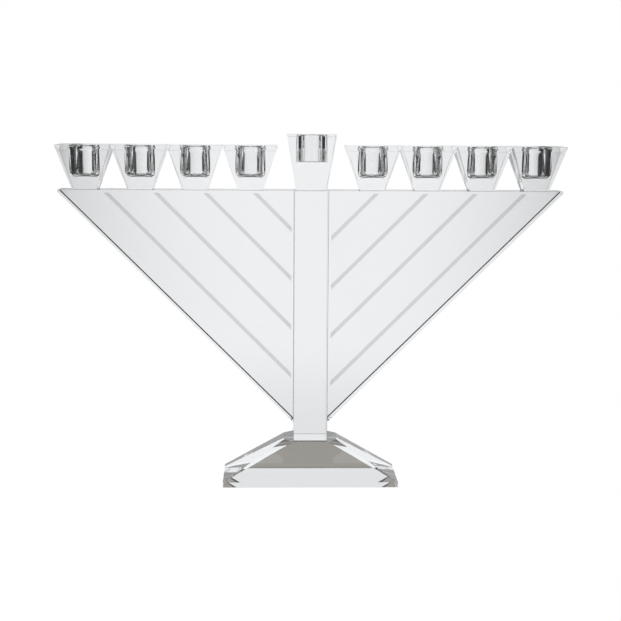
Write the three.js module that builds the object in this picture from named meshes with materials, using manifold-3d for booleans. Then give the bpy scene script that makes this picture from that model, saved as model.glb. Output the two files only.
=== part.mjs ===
// Clear crystal Hanukkah menorah: eight side cups in one row and a taller centre cup,
// carried by two triangular panels and a column on a bevelled base.
// Millimetres. +X runs along the row of cups, +Y to the back, +Z up.
// The origin is the middle of the base's underside.

import * as THREE from 'three';
import Module from 'manifold-3d';
import { ConvexGeometry } from 'three/addons/geometries/ConvexGeometry.js';
import { mergeVertices } from 'three/addons/utils/BufferGeometryUtils.js';

const wasm = await Module();
wasm.setup();

// Driving dimensions.
const BOND = 0.2; // thickness of every adhesive film

const BASE_WIDTH = 104.8;
const BASE_DEPTH = 44;
const BASE_RIM = 3.2; // upright edge below the slopes
const BASE_HEIGHT = 26.5;
const FLAT_WIDTH = 31.6; // octagonal flat on top of the base
const FLAT_DEPTH = 30.2;
const FLAT_CORNER_CUT = 5.8;

const COLUMN_WIDTH = 20;
const COLUMN_DEPTH = 26;
const COLUMN_HEIGHT = 149.7;

const PANEL_LENGTH = 139.2; // along the top edge, from the column to the outer tip
const PANEL_HEIGHT = 139.4; // along the column
const PANEL_THICKNESS = 18;
const PANEL_TIP_LAND = 1; // height of the blunt end at the outer tip

const STRIPE_WIDTH = 2.2; // matt bands cut at 45 degrees into the front of each panel
const STRIPE_DEPTH = 0.4;
const STRIPE_PITCH = 29.2;
const STRIPE_COUNT = 4;
const STRIPE_MARGIN = 1.6; // clear glass between a band's ends and the panel's edges
const LEFT_FIRST_STRIPE = 23; // from the column to the first band, along the top edge
const RIGHT_FIRST_STRIPE = 28.2;

const CUPS_EACH_SIDE = 4;
const FIRST_CUP_X = 36.2;
const CUP_PITCH = 32.5;
const SIDE_CUP = {
  top: 32.3,
  bottom: 14.7,
  height: 26.2,
  bore: 18,
  boreDepth: 18.3,
  floorRadius: 2.4,
  mouthFlare: 0.8,
  mouthDepth: 1.6,
};
const SHAMASH_CUP = {
  top: 29.1,
  bottom: 18.1,
  height: 32.8,
  bore: 19,
  boreDepth: 16,
  floorRadius: 0.6,
  mouthFlare: 0.4,
  mouthDepth: 0.4,
};
const BORE_SEGMENTS = 48;
const FILLET_STEPS = 4;
const CUTTER_OVERSHOOT = 1; // how far a cutter stands outside the face that it cuts

const columnFoot = BASE_HEIGHT + BOND;
const columnTop = columnFoot + COLUMN_HEIGHT;
const panelInnerX = COLUMN_WIDTH / 2 + BOND;

// Materials.
const CRYSTAL = { color: 0xe9ecee, roughness: 0.04, metalness: 0 };
const ADHESIVE = { color: 0xdfe3e2, roughness: 0.25, metalness: 0 };

// A closed three.js geometry becomes a solid that can be cut.
function toSolid(geometry) {
  const bare = geometry.clone();
  bare.deleteAttribute('normal');
  bare.deleteAttribute('uv');
  const merged = mergeVertices(bare, 1e-4);
  return new wasm.Manifold(
    new wasm.Mesh({
      numProp: 3,
      vertProperties: new Float32Array(merged.attributes.position.array),
      triVerts: new Uint32Array(merged.index.array),
    }),
  );
}

function toGeometry(solid) {
  const mesh = solid.getMesh();
  const geometry = new THREE.BufferGeometry();
  geometry.setAttribute('position', new THREE.BufferAttribute(new Float32Array(mesh.vertProperties), 3));
  geometry.setIndex(new THREE.BufferAttribute(new Uint32Array(mesh.triVerts), 1));
  geometry.computeVertexNormals();
  return geometry;
}

function piece(name, geometry, finish) {
  const mesh = new THREE.Mesh(geometry, new THREE.MeshStandardMaterial(finish));
  mesh.name = name;
  return mesh;
}

// The four corners of a level rectangle centred on the Z axis.
function rectangleAt(width, depth, z) {
  const corners = [];
  for (const side of [-1, 1]) {
    for (const face of [-1, 1]) {
      corners.push(new THREE.Vector3((side * width) / 2, (face * depth) / 2, z));
    }
  }
  return corners;
}

// The eight corners of a level rectangle whose corners are cut at 45 degrees.
function cutRectangleAt(width, depth, cut, z) {
  return [...rectangleAt(width - 2 * cut, depth, z), ...rectangleAt(width, depth - 2 * cut, z)];
}

// Base: an upright rim, four slopes and four narrow corner facets up to an octagonal flat.
function baseGeometry() {
  return new ConvexGeometry([
    ...rectangleAt(BASE_WIDTH, BASE_DEPTH, 0),
    ...rectangleAt(BASE_WIDTH, BASE_DEPTH, BASE_RIM),
    ...cutRectangleAt(FLAT_WIDTH, FLAT_DEPTH, FLAT_CORNER_CUT, BASE_HEIGHT),
  ]);
}

// Panel outline: its column side at x = 0, its top edge at z = 0, its tip on the given side.
function panelBlank(side) {
  const tipX = side * PANEL_LENGTH;
  const outline = new THREE.Shape();
  outline.moveTo(0, 0);
  outline.lineTo(0, -PANEL_HEIGHT);
  outline.lineTo(tipX, -PANEL_TIP_LAND);
  outline.lineTo(tipX, 0);
  const blank = new THREE.ExtrudeGeometry(outline, { depth: PANEL_THICKNESS, bevelEnabled: false });
  blank.rotateX(Math.PI / 2);
  blank.translate(0, PANEL_THICKNESS / 2, 0);
  return blank;
}

// One matt band: level at its upper end, upright at its lower end beside the column.
function stripeCutter(side, distance) {
  const across = STRIPE_WIDTH * Math.SQRT2;
  const outline = new THREE.Shape();
  outline.moveTo(side * (distance - STRIPE_MARGIN), -STRIPE_MARGIN);
  outline.lineTo(side * STRIPE_MARGIN, STRIPE_MARGIN - distance);
  outline.lineTo(side * STRIPE_MARGIN, STRIPE_MARGIN - distance - across);
  outline.lineTo(side * (distance - STRIPE_MARGIN + across), -STRIPE_MARGIN);
  const cutter = new THREE.ExtrudeGeometry(outline, {
    depth: STRIPE_DEPTH + CUTTER_OVERSHOOT,
    bevelEnabled: false,
  });
  cutter.rotateX(Math.PI / 2);
  cutter.translate(0, STRIPE_DEPTH - PANEL_THICKNESS / 2, 0);
  return cutter;
}

// side is 1 for the right-hand panel and -1 for the left-hand one.
function panelGeometry(side, firstStripe) {
  let panel = toSolid(panelBlank(side));
  for (let index = 0; index < STRIPE_COUNT; index += 1) {
    const distance = firstStripe + index * STRIPE_PITCH;
    panel = panel.subtract(toSolid(stripeCutter(side, distance)));
  }
  return toGeometry(panel);
}

// Square cup that widens upwards, standing on z = 0.
function cupBlank(cup) {
  return new ConvexGeometry([
    ...rectangleAt(cup.bottom, cup.bottom, 0),
    ...rectangleAt(cup.top, cup.top, cup.height),
  ]);
}

// Round bore with a rounded floor corner and a flared mouth.
function boreCutter(cup) {
  const radius = cup.bore / 2;
  const floor = cup.height - cup.boreDepth;
  const profile = [new THREE.Vector2(0, floor)];
  for (let step = 0; step <= FILLET_STEPS; step += 1) {
    const angle = (step / FILLET_STEPS) * (Math.PI / 2);
    profile.push(
      new THREE.Vector2(
        radius - cup.floorRadius * (1 - Math.sin(angle)),
        floor + cup.floorRadius * (1 - Math.cos(angle)),
      ),
    );
  }
  const flareSlope = cup.mouthFlare / cup.mouthDepth;
  profile.push(new THREE.Vector2(radius, cup.height - cup.mouthDepth));
  profile.push(
    new THREE.Vector2(
      radius + cup.mouthFlare + flareSlope * CUTTER_OVERSHOOT,
      cup.height + CUTTER_OVERSHOOT,
    ),
  );
  profile.push(new THREE.Vector2(0, cup.height + CUTTER_OVERSHOOT));
  const cutter = new THREE.LatheGeometry(profile, BORE_SEGMENTS);
  cutter.rotateX(Math.PI / 2);
  return cutter;
}

function cupGeometry(cup) {
  return toGeometry(toSolid(cupBlank(cup)).subtract(toSolid(boreCutter(cup))));
}

const menorah = new THREE.Group();

const base = piece('base', baseGeometry(), CRYSTAL);
menorah.add(base);

const columnBond = piece('column_bond', new THREE.BoxGeometry(COLUMN_WIDTH, COLUMN_DEPTH, BOND), ADHESIVE);
columnBond.position.z = BASE_HEIGHT + BOND / 2;
menorah.add(columnBond);

const column = piece('column', new THREE.BoxGeometry(COLUMN_WIDTH, COLUMN_DEPTH, COLUMN_HEIGHT), CRYSTAL);
column.position.z = columnFoot + COLUMN_HEIGHT / 2;
menorah.add(column);

// Everything that stands on, or hangs from, the level of the column's top.
const crown = new THREE.Group();
crown.position.z = columnTop;
menorah.add(crown);

const shamashBondGeometry = new THREE.BoxGeometry(SHAMASH_CUP.bottom, SHAMASH_CUP.bottom, BOND);
const shamashBond = piece('shamash_bond', shamashBondGeometry, ADHESIVE);
shamashBond.position.z = BOND / 2;
crown.add(shamashBond);

const shamash = piece('shamash_cup', cupGeometry(SHAMASH_CUP), CRYSTAL);
shamash.position.z = BOND;
crown.add(shamash);

const sideCupGeometry = cupGeometry(SIDE_CUP);
const sideBondGeometry = new THREE.BoxGeometry(SIDE_CUP.bottom, SIDE_CUP.bottom, BOND);
const panelBondGeometry = new THREE.BoxGeometry(BOND, PANEL_THICKNESS, PANEL_HEIGHT);

for (const [label, side, firstStripe] of [
  ['left', -1, LEFT_FIRST_STRIPE],
  ['right', 1, RIGHT_FIRST_STRIPE],
]) {
  const panelBond = piece(`${label}_panel_bond`, panelBondGeometry, ADHESIVE);
  panelBond.position.set(side * (COLUMN_WIDTH / 2 + BOND / 2), 0, -PANEL_HEIGHT / 2);
  crown.add(panelBond);

  const panel = piece(`${label}_panel`, panelGeometry(side, firstStripe), CRYSTAL);
  panel.position.x = side * panelInnerX;
  crown.add(panel);

  for (let index = 0; index < CUPS_EACH_SIDE; index += 1) {
    const cupX = side * (FIRST_CUP_X + index * CUP_PITCH);

    const cupBond = piece(`${label}_cup_bond_${index + 1}`, sideBondGeometry, ADHESIVE);
    cupBond.position.set(cupX, 0, BOND / 2);
    crown.add(cupBond);

    const cup = piece(`${label}_cup_${index + 1}`, sideCupGeometry, CRYSTAL);
    cup.position.set(cupX, 0, BOND);
    crown.add(cup);
  }
}

export default menorah;
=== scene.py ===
"""Looks for a clear crystal Hanukkah menorah: crystal pieces, adhesive films and a white studio.

Every crystal piece is rebuilt from its CAD node with narrow arrises, and every cup gets a finely
turned bore. Lengths are in metres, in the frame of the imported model.
"""

import math

import bmesh
import bpy
from mathutils import Matrix, Vector


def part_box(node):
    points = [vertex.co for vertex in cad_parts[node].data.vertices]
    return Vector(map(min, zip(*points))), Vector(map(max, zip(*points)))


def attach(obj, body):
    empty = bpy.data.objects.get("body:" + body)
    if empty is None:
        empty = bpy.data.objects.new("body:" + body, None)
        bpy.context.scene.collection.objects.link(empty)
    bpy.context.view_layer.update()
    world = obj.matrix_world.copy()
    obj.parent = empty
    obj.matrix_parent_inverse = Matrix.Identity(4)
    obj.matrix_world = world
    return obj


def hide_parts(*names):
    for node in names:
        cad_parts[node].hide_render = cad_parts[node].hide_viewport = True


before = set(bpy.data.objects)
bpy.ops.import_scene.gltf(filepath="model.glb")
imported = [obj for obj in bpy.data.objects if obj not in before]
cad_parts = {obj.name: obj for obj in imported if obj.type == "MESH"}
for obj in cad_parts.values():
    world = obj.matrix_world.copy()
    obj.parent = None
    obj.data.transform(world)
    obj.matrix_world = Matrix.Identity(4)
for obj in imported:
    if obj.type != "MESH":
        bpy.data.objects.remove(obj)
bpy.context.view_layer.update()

MM = 0.001
X_AXIS = 0
Z_AXIS = 2
SIDES = ("left", "right")
CUPS_EACH_SIDE = 4

# Reading the CAD meshes.
WELD = 0.002 * MM  # points closer than this are one point
FLAT_ANGLE = math.radians(0.2)  # facets that meet at less than this are one facet
GROOVE_REACH = 0.6 * MM  # from the panel's front face to behind the matt bands' floors
SLANTING_LEAST = 10 * MM  # an edge that runs this far both across and down is a slanting one
FACING = 0.9  # least part of a face's normal along an axis for the face to count as facing that way
LEVEL = 0.9999  # the same for a face to count as level
SPAN_SHARE = 0.9  # of a panel's thickness, which a face on its outline reaches over
BORE_WALL_RANK = 0.75  # place, among a bore's points sorted by radius, of one on its straight wall

# Arrises.
BASE_ARRIS = 0.15 * MM
COLUMN_ARRIS = 0.05 * MM
COLUMN_WIDE_ARRIS = 0.16 * MM
PANEL_ARRIS = 0.1 * MM
PANEL_BACK_ARRIS = 0.38 * MM
CUP_ARRIS = 0.1 * MM

# Bores. Their radius and depth are measured on the CAD cup.
BORE_SEGMENTS = 128
FILLET_STEPS = 10
WALL_STEPS = 16
MOUTH_STEPS = 6
MOUTH_CURVE = 1.6  # above 1, so that the mouth flares more and more towards its rim
CUTTER_OVERSHOOT = 1 * MM
CORNER_START = 0.03  # the hardly polished ring at the floor corner, tinted dark green as painted shade, as shares of the floor radius
CORNER_END = 0.14
SIDE_FLOOR_RADIUS = 3.2 * MM
SIDE_MOUTH_FLARE = 0.8 * MM
SIDE_MOUTH_DEPTH = 1.8 * MM
SIDE_WAVE = 0.03 * MM
SHAMASH_FLOOR_RADIUS = 0.5 * MM
SHAMASH_MOUTH_FLARE = 0.4 * MM
SHAMASH_MOUTH_DEPTH = 0.6 * MM

# Waves of a hand-polished bore wall: lobes round the bore, share of the cup's own phase,
# height over which a wave moves on by one radian, and share of the greatest wave.
WALL_WAVES = (
    (3, 1.0, 5.2 * MM, 1.0),
    (5, 2.3, -3.8 * MM, 0.6),
    (11, 4.1, 6.8 * MM, 0.35),
)
FIRST_PHASE = 1.0
PHASE_PER_CUP = 1.7
PHASE_PER_SIDE = 0.9

# Adhesive films.
FILM_GAP = 0.015 * MM  # to the crystal on both sides, so that no two surfaces coincide
FILM_INSET = 0.12 * MM
FILM_ROUNDING = 0.25  # of half the film's thickness

# Refractive indices.
CRYSTAL_IOR = 1.52
ADHESIVE_IOR = 1.5

# Camera.
CAMERA_DISTANCE = 0.845
CAMERA_PITCH = math.radians(8.1)
CAMERA_TURN = math.radians(1.75)
CAMERA_ROLL = math.radians(0.36)
CAMERA_LENS = 81.2  # in mm, as Blender takes it
CAMERA_SENSOR = 36.0  # in mm
CAMERA_AIM_HEIGHT = 0.1038

# Softbox behind the menorah. Widths are to one side of its middle; heights are from the middle too.
SOFTBOX_DISTANCE = 0.09  # from the menorah's middle
SOFTBOX_LIGHT = 0.94
SOFTBOX_EVEN = 0.04  # even up to here
SOFTBOX_EDGE = 0.157  # darker by SOFTBOX_FALL here
SOFTBOX_END = 0.185  # dark from here on
SOFTBOX_FALL = 0.2
SOFTBOX_FOOT = -0.078  # dimmed to SOFTBOX_FOOT_SHARE from here down
SOFTBOX_FOOT_SHARE = 0.88
SOFTBOX_FOOT_END = -0.0156  # not dimmed from here up
SOFTBOX_TOP = 0.3
SOFTBOX_TOP_END = 0.315  # dark from here up
LEAST_AWAY = 0.02  # rays that run less steeply than this towards the softbox's plane miss it

# Lights high up on both sides. A ray meets one when its direction is far enough across and up.
SIDE_LIGHT = 1.0
SIDE_ACROSS_FROM = 0.36
SIDE_ACROSS_FULL = 0.44
SIDE_UP_FROM = 0.5
SIDE_UP_FULL = 0.65
ROOM_LIGHT = 0.03  # everywhere else

# Table. Its glow is painted light: the softbox's light on it, with a painted shadow under the base and
# painted shade in front of the base and beside it.
TABLE_LIGHT = 0.34
SHADE_LIGHT = 0.1  # painted shadow under the base
SHADE_START = -0.001  # outwards from the base's outline
SHADE_END = 0.003
FRONT_SHARE = 0.3  # painted shade, as a share of the table's light, in front of the base
FRONT_FROM = -0.03  # along Y
FRONT_TO = -0.01
SIDE_SHARE = 0.35  # painted shade, as a share of the table's light, beside the base
BESIDE_FROM = 0.008  # outwards from the base's left and right sides
BESIDE_TO = 0.022
TABLE_END = 0.02  # before the softbox's plane, where the table starts to give way to it
TABLE_GONE = 0.005  # behind that plane

COOL = (0.98, 0.99, 1.005)
WARM = (1.04, 1.0, 0.93)
BACKDROP_RADIUS = 4.0
FLOOR_DROP = 0.1 * MM
BOUNCES = 32
TRANSPARENT_BOUNCES = 16


# ---------------------------------------------------------------- mesh helpers


def link(name, mesh):
    piece = bpy.data.objects.new(name, mesh)
    bpy.context.scene.collection.objects.link(piece)
    return piece


def clean_bmesh(node):
    """The CAD node's solid with its coplanar triangles joined into whole facets."""
    solid = bmesh.new()
    solid.from_mesh(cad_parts[node].data)
    bmesh.ops.remove_doubles(solid, verts=solid.verts, dist=WELD)
    bmesh.ops.dissolve_limit(solid, angle_limit=FLAT_ANGLE, verts=solid.verts, edges=solid.edges)
    bmesh.ops.recalc_face_normals(solid, faces=solid.faces)
    return solid


def half_size(node):
    low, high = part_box(node)
    return (high - low) / 2


def bevel(solid, edges, width, segments=1, slot=0):
    bmesh.ops.bevel(
        solid,
        geom=edges,
        offset=width,
        segments=segments,
        profile=0.5,
        affect="EDGES",
        clamp_overlap=True,
        material=slot,
    )


def stand_for(piece, node):
    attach(piece, "root")
    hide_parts(node)
    return piece


# ---------------------------------------------------------------- materials


def new_material(name):
    material = bpy.data.materials.new(name)
    material.use_nodes = True
    tree = material.node_tree
    tree.nodes.clear()
    output = tree.nodes.new("ShaderNodeOutputMaterial")
    shader = tree.nodes.new("ShaderNodeBsdfPrincipled")
    tree.links.new(shader.outputs["BSDF"], output.inputs["Surface"])
    return material, tree, shader


def noise(tree, scale, detail=3.0, stretch=(1.0, 1.0, 1.0)):
    place = tree.nodes.new("ShaderNodeTexCoord")
    mapping = tree.nodes.new("ShaderNodeMapping")
    mapping.inputs["Scale"].default_value = stretch
    texture = tree.nodes.new("ShaderNodeTexNoise")
    texture.inputs["Scale"].default_value = scale
    texture.inputs["Detail"].default_value = detail
    tree.links.new(place.outputs["Object"], mapping.inputs["Vector"])
    tree.links.new(mapping.outputs["Vector"], texture.inputs["Vector"])
    return texture


def ramp(tree, source, low, high, low_value, high_value):
    node = tree.nodes.new("ShaderNodeMapRange")
    node.inputs["From Min"].default_value = low
    node.inputs["From Max"].default_value = high
    node.inputs["To Min"].default_value = low_value
    node.inputs["To Max"].default_value = high_value
    tree.links.new(source, node.inputs["Value"])
    return node.outputs["Result"]


def bump(tree, shader, height, strength, distance):
    node = tree.nodes.new("ShaderNodeBump")
    node.inputs["Strength"].default_value = strength
    node.inputs["Distance"].default_value = distance
    tree.links.new(height, node.inputs["Height"])
    tree.links.new(node.outputs["Normal"], shader.inputs["Normal"])


def as_glass(shader, ior=CRYSTAL_IOR):
    shader.inputs["Transmission Weight"].default_value = 1.0
    shader.inputs["IOR"].default_value = ior
    shader.inputs["Metallic"].default_value = 0.0


def polished_crystal():
    material, tree, shader = new_material("polished_crystal")
    as_glass(shader)
    shader.inputs["Base Color"].default_value = (1, 1, 1, 1)
    haze = noise(tree, 60.0, detail=4.0)
    roughness = ramp(tree, haze.outputs["Fac"], 0.55, 0.8, 0.0, 0.006)
    tree.links.new(roughness, shader.inputs["Roughness"])
    return material


def turned_bore():
    material, tree, shader = new_material("turned_bore")
    as_glass(shader)
    shader.inputs["Base Color"].default_value = (1, 1, 1, 1)
    shader.inputs["Roughness"].default_value = 0.0
    waves = noise(tree, 160.0, detail=2.0, stretch=(1.0, 1.0, 0.35))
    bump(tree, shader, waves.outputs["Fac"], 0.01, 0.02 * MM)
    return material


def ground_glass(name, colour, clarity, finest, coarsest):
    """A ground and hardly polished face: rough, and tinted darker than the polished ones. On the
    arrises and the bore corners the tint is painted shade.
    """
    material, tree, shader = new_material(name)
    as_glass(shader)
    grain = noise(tree, 900.0, detail=3.0)
    shader.inputs["Base Color"].default_value = (*colour, 1)
    shader.inputs["Transmission Weight"].default_value = clarity
    roughness = ramp(tree, grain.outputs["Fac"], 0.3, 0.7, finest, coarsest)
    tree.links.new(roughness, shader.inputs["Roughness"])
    return material


def matt_band():
    material, tree, shader = new_material("matt_band")
    as_glass(shader)
    grain = noise(tree, 2600.0, detail=2.0)
    shader.inputs["Base Color"].default_value = (0.64, 0.64, 0.65, 1)
    roughness = ramp(tree, grain.outputs["Fac"], 0.3, 0.7, 0.45, 0.65)
    tree.links.new(roughness, shader.inputs["Roughness"])
    bump(tree, shader, grain.outputs["Fac"], 0.25, 0.05 * MM)
    return material


def cured_adhesive():
    material, tree, shader = new_material("cured_adhesive")
    as_glass(shader, ADHESIVE_IOR)
    shader.inputs["Base Color"].default_value = (0.97, 0.98, 0.97, 1)
    haze = noise(tree, 420.0, detail=3.0)
    roughness = ramp(tree, haze.outputs["Fac"], 0.35, 0.7, 0.0, 0.02)
    tree.links.new(roughness, shader.inputs["Roughness"])
    return material


CRYSTAL = polished_crystal()
BORE = turned_bore()
MATT = matt_band()
# Ground arrises, with a grey tint that is painted shade for the dark lines along the edges.
SHADED_FINE_ARRIS = ground_glass("fine_arris_painted_shade", (0.6, 0.62, 0.61), 1.0, 0.15, 0.35)
# Ground arris, tinted near-black green as painted shade for the dark lines along these edges.
PAINTED_DARK_ARRIS = ground_glass("painted_dark_arris", (0.01, 0.03, 0.025), 0.5, 0.15, 0.35)
# Hardly polished ring, tinted dark green as painted shade for the dark line round the bore's floor.
SHADED_BORE_CORNER = ground_glass("bore_corner_painted_shade", (0.02, 0.07, 0.055), 0.55, 0.1, 0.25)
PANEL_TOP = ground_glass("panel_top", (0.72, 0.74, 0.74), 1.0, 0.05, 0.12)
ADHESIVE = cured_adhesive()

# The materials of each kind of piece, in the order of their slots.
BASE_MATERIALS = (CRYSTAL, SHADED_FINE_ARRIS)
COLUMN_MATERIALS = (CRYSTAL, SHADED_FINE_ARRIS, PAINTED_DARK_ARRIS)
PANEL_MATERIALS = (CRYSTAL, MATT, SHADED_FINE_ARRIS, PAINTED_DARK_ARRIS, PANEL_TOP)
CUP_MATERIALS = (CRYSTAL, BORE, SHADED_FINE_ARRIS, SHADED_BORE_CORNER)


# ---------------------------------------------------------------- crystal pieces


def finish_crystal(name, node, solid, materials):
    mesh = bpy.data.meshes.new(name)
    solid.to_mesh(mesh)
    solid.free()
    for material in materials:
        mesh.materials.append(material)
    return stand_for(link(name, mesh), node)


def base(name, node):
    """The bevelled base, with arrises everywhere but between its upright rim and its slopes."""
    low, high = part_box(node)

    def is_rim_top(edge):
        heights = [vertex.co.z for vertex in edge.verts]
        return min(heights) > low.z + WELD and max(heights) < (low.z + high.z) / 2

    solid = clean_bmesh(node)
    edges = [edge for edge in solid.edges if not is_rim_top(edge)]
    bevel(solid, edges, BASE_ARRIS, slot=BASE_MATERIALS.index(SHADED_FINE_ARRIS))
    finish_crystal(name, node, solid, BASE_MATERIALS)


def column(name, node):
    """The upright bar. Its right front edge has a wide arris that is ground but not polished, tinted
    near-black green as painted shade.
    """
    low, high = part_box(node)

    def is_right_front(edge):
        return all(v.co.x > high.x - WELD and v.co.y < low.y + WELD for v in edge.verts)

    def is_uncut(edge):
        return all(face.material_index != dark_slot for face in edge.link_faces)

    solid = clean_bmesh(node)
    dark_slot = COLUMN_MATERIALS.index(PAINTED_DARK_ARRIS)
    wide = [edge for edge in solid.edges if is_right_front(edge)]
    bevel(solid, wide, COLUMN_WIDE_ARRIS, slot=dark_slot)
    uncut = [edge for edge in solid.edges if is_uncut(edge)]
    bevel(solid, uncut, COLUMN_ARRIS, slot=COLUMN_MATERIALS.index(SHADED_FINE_ARRIS))
    finish_crystal(name, node, solid, COLUMN_MATERIALS)


def panel(name, node):
    """A triangular panel: arrises round its outline, and matt bands on its front."""
    low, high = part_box(node)
    thickness = high.y - low.y

    def spans_thickness(face):
        depths = [vertex.co.y for vertex in face.verts]
        return max(depths) - min(depths) > thickness * SPAN_SHARE

    def is_slanting_back(edge):
        first, second = (vertex.co for vertex in edge.verts)
        on_back = min(first.y, second.y) > high.y - WELD
        across = abs(first.x - second.x)
        down = abs(first.z - second.z)
        return on_back and min(across, down) > SLANTING_LEAST

    def is_on_outline(edge):
        is_dark = any(face.material_index == dark_slot for face in edge.link_faces)
        return not is_dark and any(spans_thickness(face) for face in edge.link_faces)

    solid = clean_bmesh(node)
    dark_slot = PANEL_MATERIALS.index(PAINTED_DARK_ARRIS)
    # The slanting back edges get wide arrises, tinted near-black green as painted shade.
    slanting = [edge for edge in solid.edges if is_slanting_back(edge)]
    bevel(solid, slanting, PANEL_BACK_ARRIS, slot=dark_slot)
    outline = [edge for edge in solid.edges if is_on_outline(edge)]
    bevel(solid, outline, PANEL_ARRIS, slot=PANEL_MATERIALS.index(SHADED_FINE_ARRIS))
    for face in solid.faces:
        depth = face.calc_center_median().y - low.y
        if WELD < depth < GROOVE_REACH and face.normal.y < -FACING:
            face.material_index = PANEL_MATERIALS.index(MATT)
        elif face.normal.z > FACING:
            face.material_index = PANEL_MATERIALS.index(PANEL_TOP)
    finish_crystal(name, node, solid, PANEL_MATERIALS)


def bore_size(node):
    """The radius of a CAD cup's straight bore wall, and the height of its floor."""
    low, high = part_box(node)
    centre = (low + high) / 2
    points = [vertex.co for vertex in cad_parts[node].data.vertices]
    inner = [point for point in points if low.z + WELD < point.z < high.z - WELD]
    radii = sorted(math.hypot(point.x - centre.x, point.y - centre.y) for point in inner)
    return radii[int(len(radii) * BORE_WALL_RANK)], min(point.z for point in inner)


def bore_profile(radius, floor, top, floor_radius, mouth_flare, mouth_depth):
    """Radius and height pairs from the middle of the floor to above the mouth."""
    points = [(0.0, floor)]
    for step in range(FILLET_STEPS + 1):
        angle = step / FILLET_STEPS * math.pi / 2
        across = radius - floor_radius * (1 - math.sin(angle))
        points.append((across, floor + floor_radius * (1 - math.cos(angle))))
    wall_foot = floor + floor_radius
    wall_top = top - mouth_depth
    for step in range(1, WALL_STEPS + 1):
        points.append((radius, wall_foot + (wall_top - wall_foot) * step / WALL_STEPS))
    for step in range(1, MOUTH_STEPS + 1):
        rise = step / MOUTH_STEPS
        points.append((radius + mouth_flare * rise**MOUTH_CURVE, wall_top + mouth_depth * rise))
    points.append((radius + mouth_flare, top + CUTTER_OVERSHOOT))
    points.append((0.0, top + CUTTER_OVERSHOOT))
    return points


def hand_waviness(angle, height, phase):
    """How far the wall strays from a true cylinder, in heights of its greatest single wave."""
    return sum(
        share * math.sin(lobes * angle + shift * phase + height / climb)
        for lobes, shift, climb, share in WALL_WAVES
    )


def turned(name, profile, centre, floor_radius, wave, phase):
    """A closed solid turned about a vertical axis. Its walls are wavy where wave isn't zero.

    The profile starts and ends on the axis. There a ring is one point, so its facets are triangles.
    """
    solid = bmesh.new()
    rings = []
    for radius, height in profile:
        if radius == 0.0:
            rings.append([solid.verts.new((centre.x, centre.y, height))])
            continue
        ring = []
        for index in range(BORE_SEGMENTS):
            angle = 2 * math.pi * index / BORE_SEGMENTS
            across = radius + wave * hand_waviness(angle, height, phase)
            x = centre.x + across * math.cos(angle)
            y = centre.y + across * math.sin(angle)
            ring.append(solid.verts.new((x, y, height)))
        rings.append(ring)
    for lower, upper in zip(rings, rings[1:]):
        for index in range(BORE_SEGMENTS):
            after = index + 1
            corners = [
                lower[index % len(lower)],
                lower[after % len(lower)],
                upper[after % len(upper)],
                upper[index % len(upper)],
            ]
            solid.faces.new(list(dict.fromkeys(corners)))
    bmesh.ops.recalc_face_normals(solid, faces=solid.faces)
    floor = profile[0][1]
    for face in solid.faces:
        face.smooth = abs(face.normal.z) < LEVEL
        share = (face.calc_center_median().z - floor) / floor_radius
        finish = SHADED_BORE_CORNER if CORNER_START < share < CORNER_END else BORE
        face.material_index = CUP_MATERIALS.index(finish)
    mesh = bpy.data.meshes.new(name)
    solid.to_mesh(mesh)
    solid.free()
    return mesh


def tapered_block(node):
    """The cup's outside: a square foot, a larger square top, and fine arrises."""
    low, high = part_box(node)
    centre = (low + high) / 2
    points = [vertex.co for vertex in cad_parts[node].data.vertices]
    half_foot = max(point.x for point in points if point.z < low.z + WELD) - centre.x
    half_top = high.x - centre.x
    body = bmesh.new()
    corners = []
    for half, height in ((half_foot, low.z), (half_top, high.z)):
        for x, y in ((-1, -1), (1, -1), (1, 1), (-1, 1)):
            corners.append(body.verts.new((centre.x + x * half, centre.y + y * half, height)))
    body.faces.new(corners[3::-1])
    body.faces.new(corners[4:])
    for index in range(4):
        after = (index + 1) % 4
        body.faces.new((corners[index], corners[after], corners[4 + after], corners[4 + index]))
    bevel(body, list(body.edges), CUP_ARRIS, slot=CUP_MATERIALS.index(SHADED_FINE_ARRIS))
    bmesh.ops.recalc_face_normals(body, faces=body.faces)
    return body


def cup(name, node, floor_radius, mouth_flare, mouth_depth, wave=0.0, phase=0.0):
    """A square cup that widens upwards, with a smooth round bore."""
    low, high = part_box(node)
    centre = (low + high) / 2
    radius, floor = bore_size(node)
    piece = finish_crystal(name, node, tapered_block(node), CUP_MATERIALS)
    profile = bore_profile(radius, floor, high.z, floor_radius, mouth_flare, mouth_depth)
    cutter_name = name + "_cutter"
    bore = turned(cutter_name, profile, centre, floor_radius, wave, phase)
    cutter = link(cutter_name, bore)
    for material in CUP_MATERIALS:
        bore.materials.append(material)
    cut = piece.modifiers.new("bore", "BOOLEAN")
    cut.operation = "DIFFERENCE"
    cut.solver = "EXACT"
    cut.object = cutter
    graph = bpy.context.evaluated_depsgraph_get()
    finished = bpy.data.meshes.new_from_object(piece.evaluated_get(graph))
    piece.modifiers.clear()
    piece.data = finished
    bpy.data.objects.remove(cutter)


def film(name, node, thin_axis):
    """A cured adhesive film with slightly rounded rims, just clear of the crystal on both sides."""
    low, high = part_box(node)
    centre = (low + high) / 2
    half = half_size(node)
    for axis in range(3):
        half[axis] -= FILM_GAP if axis == thin_axis else FILM_INSET
    solid = bmesh.new()
    bmesh.ops.create_cube(solid, size=2.0)
    bmesh.ops.scale(solid, vec=half, verts=solid.verts)
    bmesh.ops.translate(solid, vec=centre, verts=solid.verts)
    bevel(solid, list(solid.edges), half[thin_axis] * FILM_ROUNDING, segments=2)
    mesh = bpy.data.meshes.new(name)
    solid.to_mesh(mesh)
    solid.free()
    mesh.materials.append(ADHESIVE)
    stand_for(link(name, mesh), node)


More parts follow.
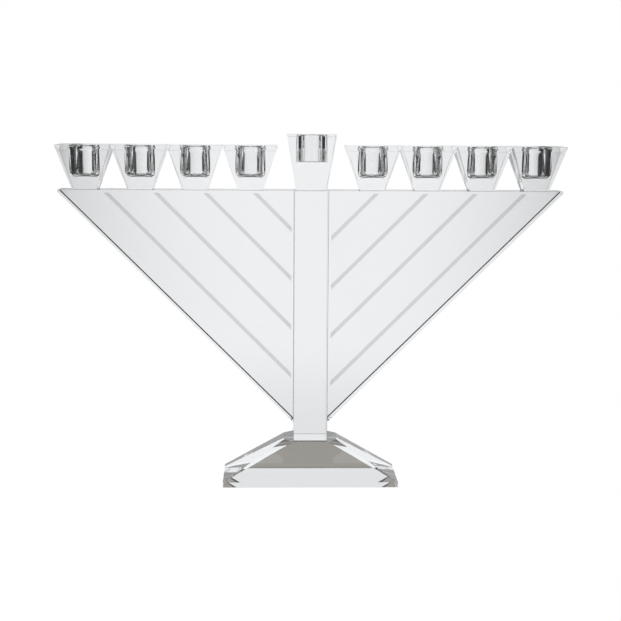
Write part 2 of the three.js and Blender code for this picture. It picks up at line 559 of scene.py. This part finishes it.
def shamash_cup(name, node):
    cup(name, node, SHAMASH_FLOOR_RADIUS, SHAMASH_MOUTH_FLARE, SHAMASH_MOUTH_DEPTH)


def side_cup(name, node, phase):
    cup(name, node, SIDE_FLOOR_RADIUS, SIDE_MOUTH_FLARE, SIDE_MOUTH_DEPTH, SIDE_WAVE, phase)


base("crystal_base", "base")
column("crystal_column", "column")
film("film_under_column", "column_bond", Z_AXIS)
film("film_under_shamash", "shamash_bond", Z_AXIS)
shamash_cup("crystal_shamash_cup", "shamash_cup")
for side_number, side in enumerate(SIDES):
    panel(f"crystal_{side}_panel", f"{side}_panel")
    film(f"film_{side}_panel", f"{side}_panel_bond", X_AXIS)
    for number in range(1, CUPS_EACH_SIDE + 1):
        phase = FIRST_PHASE + PHASE_PER_CUP * number + PHASE_PER_SIDE * side_number
        side_cup(f"crystal_{side}_cup_{number}", f"{side}_cup_{number}", phase)
        film(f"film_{side}_cup_{number}", f"{side}_cup_bond_{number}", Z_AXIS)


# ---------------------------------------------------------------- studio
# A softbox stands behind the menorah and faces the camera. There are lights high up on both sides,
# and the rest of the room is dark. All of it is worked out by the backdrop's material: each ray is
# followed to the softbox's plane, in the camera's space.


def math_node(tree, operation, *values):
    node = tree.nodes.new("ShaderNodeMath")
    node.operation = operation
    for socket, value in zip(node.inputs, values):
        if isinstance(value, (int, float)):
            socket.default_value = value
        else:
            tree.links.new(value, socket)
    return node.outputs["Value"]


def blend(tree, value, start, end, at_start, at_end, shape="SMOOTHSTEP"):
    node = tree.nodes.new("ShaderNodeMapRange")
    node.interpolation_type = shape
    node.inputs["From Min"].default_value = start
    node.inputs["From Max"].default_value = end
    node.inputs["To Min"].default_value = at_start
    node.inputs["To Max"].default_value = at_end
    tree.links.new(value, node.inputs["Value"])
    return node.outputs["Result"]


def in_camera_space(tree, vector, kind):
    turn = tree.nodes.new("ShaderNodeVectorTransform")
    turn.vector_type = kind
    turn.convert_from = "WORLD"
    turn.convert_to = "CAMERA"
    if isinstance(vector, tuple):
        turn.inputs["Vector"].default_value = vector
    else:
        tree.links.new(vector, turn.inputs["Vector"])
    parts = tree.nodes.new("ShaderNodeSeparateXYZ")
    tree.links.new(turn.outputs["Vector"], parts.inputs["Vector"])
    return [parts.outputs[axis] for axis in "XYZ"]


def difference(tree, a, b):
    return math_node(tree, "SUBTRACT", a, b)


def product(tree, first, *others):
    for other in others:
        first = math_node(tree, "MULTIPLY", first, other)
    return first


def place_behind(tree, geometry):
    """Where a surface point lies from the menorah's middle: right, up and away from the camera."""
    point = in_camera_space(tree, geometry.outputs["Position"], "POINT")
    middle = in_camera_space(tree, (0.0, 0.0, CAMERA_AIM_HEIGHT), "POINT")
    return [difference(tree, p, m) for p, m in zip(point, middle)]


def softbox_light(tree, geometry):
    """How bright the ray that ends here finds the softbox or the room around it."""
    right, up, away = place_behind(tree, geometry)
    back_right, back_up, back_away = in_camera_space(tree, geometry.outputs["Incoming"], "VECTOR")
    steps = math_node(tree, "DIVIDE", difference(tree, SOFTBOX_DISTANCE, away), back_away)
    across = math_node(tree, "ABSOLUTE", math_node(tree, "MULTIPLY_ADD", steps, back_right, right))
    height = math_node(tree, "MULTIPLY_ADD", steps, back_up, up)
    ramped = blend(tree, across, SOFTBOX_EVEN, SOFTBOX_EDGE, 0.0, 1.0, "LINEAR")
    outward = math_node(tree, "MAXIMUM", ramped, 0.0)
    fall = product(tree, math_node(tree, "POWER", outward, 2.0), SOFTBOX_FALL)
    light = product(
        tree,
        difference(tree, SOFTBOX_LIGHT, fall),
        blend(tree, across, SOFTBOX_EDGE, SOFTBOX_END, 1.0, 0.0),
        blend(tree, height, SOFTBOX_FOOT, SOFTBOX_FOOT_END, SOFTBOX_FOOT_SHARE, 1.0),
        blend(tree, height, SOFTBOX_TOP, SOFTBOX_TOP_END, 1.0, 0.0),
        math_node(tree, "LESS_THAN", back_away, -LEAST_AWAY),
    )
    sideways = math_node(tree, "ABSOLUTE", back_right)
    side = product(
        tree,
        blend(tree, sideways, SIDE_ACROSS_FROM, SIDE_ACROSS_FULL, 0.0, SIDE_LIGHT),
        blend(tree, back_up, -SIDE_UP_FULL, -SIDE_UP_FROM, 1.0, 0.0),
    )
    return math_node(tree, "MAXIMUM", math_node(tree, "MAXIMUM", light, side), ROOM_LIGHT)


def tinted(tree, value, tint):
    return [product(tree, value, share) for share in tint]


def emit(material, colour_of):
    """White to the camera; to every other ray, the colour that colour_of works out."""
    material.use_nodes = True
    tree = material.node_tree
    tree.nodes.clear()
    geometry = tree.nodes.new("ShaderNodeNewGeometry")
    path = tree.nodes.new("ShaderNodeLightPath")
    join = tree.nodes.new("ShaderNodeCombineXYZ")
    for socket, value in zip(join.inputs, colour_of(tree, geometry)):
        white_or_value = math_node(tree, "MAXIMUM", value, path.outputs["Is Camera Ray"])
        tree.links.new(white_or_value, socket)
    emission = tree.nodes.new("ShaderNodeEmission")
    output = tree.nodes.new("ShaderNodeOutputMaterial")
    tree.links.new(join.outputs["Vector"], emission.inputs["Color"])
    tree.links.new(emission.outputs["Emission"], output.inputs["Surface"])


def backdrop_colour(tree, geometry):
    return tinted(tree, softbox_light(tree, geometry), COOL)


def floor_colour(tree, geometry):
    """The table's painted light and shade in front of the softbox; behind it, what the ray met in the
    softbox's plane.
    """
    parts = tree.nodes.new("ShaderNodeSeparateXYZ")
    tree.links.new(geometry.outputs["Position"], parts.inputs["Vector"])
    outside = [
        difference(tree, math_node(tree, "ABSOLUTE", parts.outputs[axis]), half)
        for axis, half in zip("XY", half_size("base"))
    ]
    # painted shade in front of the base and beside it
    painted_front_and_side_shade = product(
        tree,
        blend(tree, parts.outputs["Y"], FRONT_FROM, FRONT_TO, FRONT_SHARE, 1.0),
        blend(tree, outside[0], BESIDE_FROM, BESIDE_TO, 1.0, SIDE_SHARE),
    )
    farthest = math_node(tree, "MAXIMUM", *outside)
    # painted shadow under the base
    painted_shadow = blend(tree, farthest, SHADE_START, SHADE_END, SHADE_LIGHT, TABLE_LIGHT)
    table = product(tree, painted_shadow, painted_front_and_side_shade)
    away = place_behind(tree, geometry)[2]
    starts = SOFTBOX_DISTANCE - TABLE_END
    ends = SOFTBOX_DISTANCE + TABLE_GONE
    share = blend(tree, away, starts, ends, 0.0, 1.0)
    beyond = tinted(tree, product(tree, softbox_light(tree, geometry), share), COOL)
    before = tinted(tree, product(tree, difference(tree, 1.0, share), table), WARM)
    return [math_node(tree, "ADD", far, near) for far, near in zip(beyond, before)]


def make_backdrop():
    solid = bmesh.new()
    bmesh.ops.create_uvsphere(solid, u_segments=48, v_segments=24, radius=BACKDROP_RADIUS)
    mesh = bpy.data.meshes.new("backdrop")
    solid.to_mesh(mesh)
    solid.free()
    material = bpy.data.materials.new("softbox_and_room")
    emit(material, backdrop_colour)
    mesh.materials.append(material)
    link("backdrop", mesh)


def make_floor():
    solid = bmesh.new()
    bmesh.ops.create_circle(solid, cap_ends=True, segments=64, radius=BACKDROP_RADIUS)
    bmesh.ops.translate(solid, vec=(0, 0, -FLOOR_DROP), verts=solid.verts)
    mesh = bpy.data.meshes.new("floor")
    solid.to_mesh(mesh)
    solid.free()
    material = bpy.data.materials.new("pale_floor_painted_table_light")
    emit(material, floor_colour)
    mesh.materials.append(material)
    link("floor", mesh)


def make_camera():
    aim = Vector((0, 0, CAMERA_AIM_HEIGHT))
    level = Vector((-math.sin(CAMERA_TURN), -math.cos(CAMERA_TURN), 0))
    back = level * math.cos(CAMERA_PITCH) + Vector((0, 0, math.sin(CAMERA_PITCH)))
    camera = link("camera", bpy.data.cameras.new("camera"))
    camera.data.sensor_width = CAMERA_SENSOR
    camera.data.lens = CAMERA_LENS
    camera.data.clip_start = 0.01
    camera.data.clip_end = 100.0
    place = Matrix.Translation(aim + back * CAMERA_DISTANCE)
    look = (-back).to_track_quat("-Z", "Y").to_matrix().to_4x4()
    camera.matrix_world = place @ look @ Matrix.Rotation(CAMERA_ROLL, 4, "Z")
    bpy.context.scene.camera = camera


make_backdrop()
make_floor()
make_camera()

scene = bpy.context.scene
scene.view_settings.view_transform = "Standard"
scene.cycles.max_bounces = BOUNCES
scene.cycles.transmission_bounces = BOUNCES
scene.cycles.glossy_bounces = BOUNCES
scene.cycles.transparent_max_bounces = TRANSPARENT_BOUNCES
scene.cycles.denoising_input_passes = "RGB"  # with the others the bores come out gritty
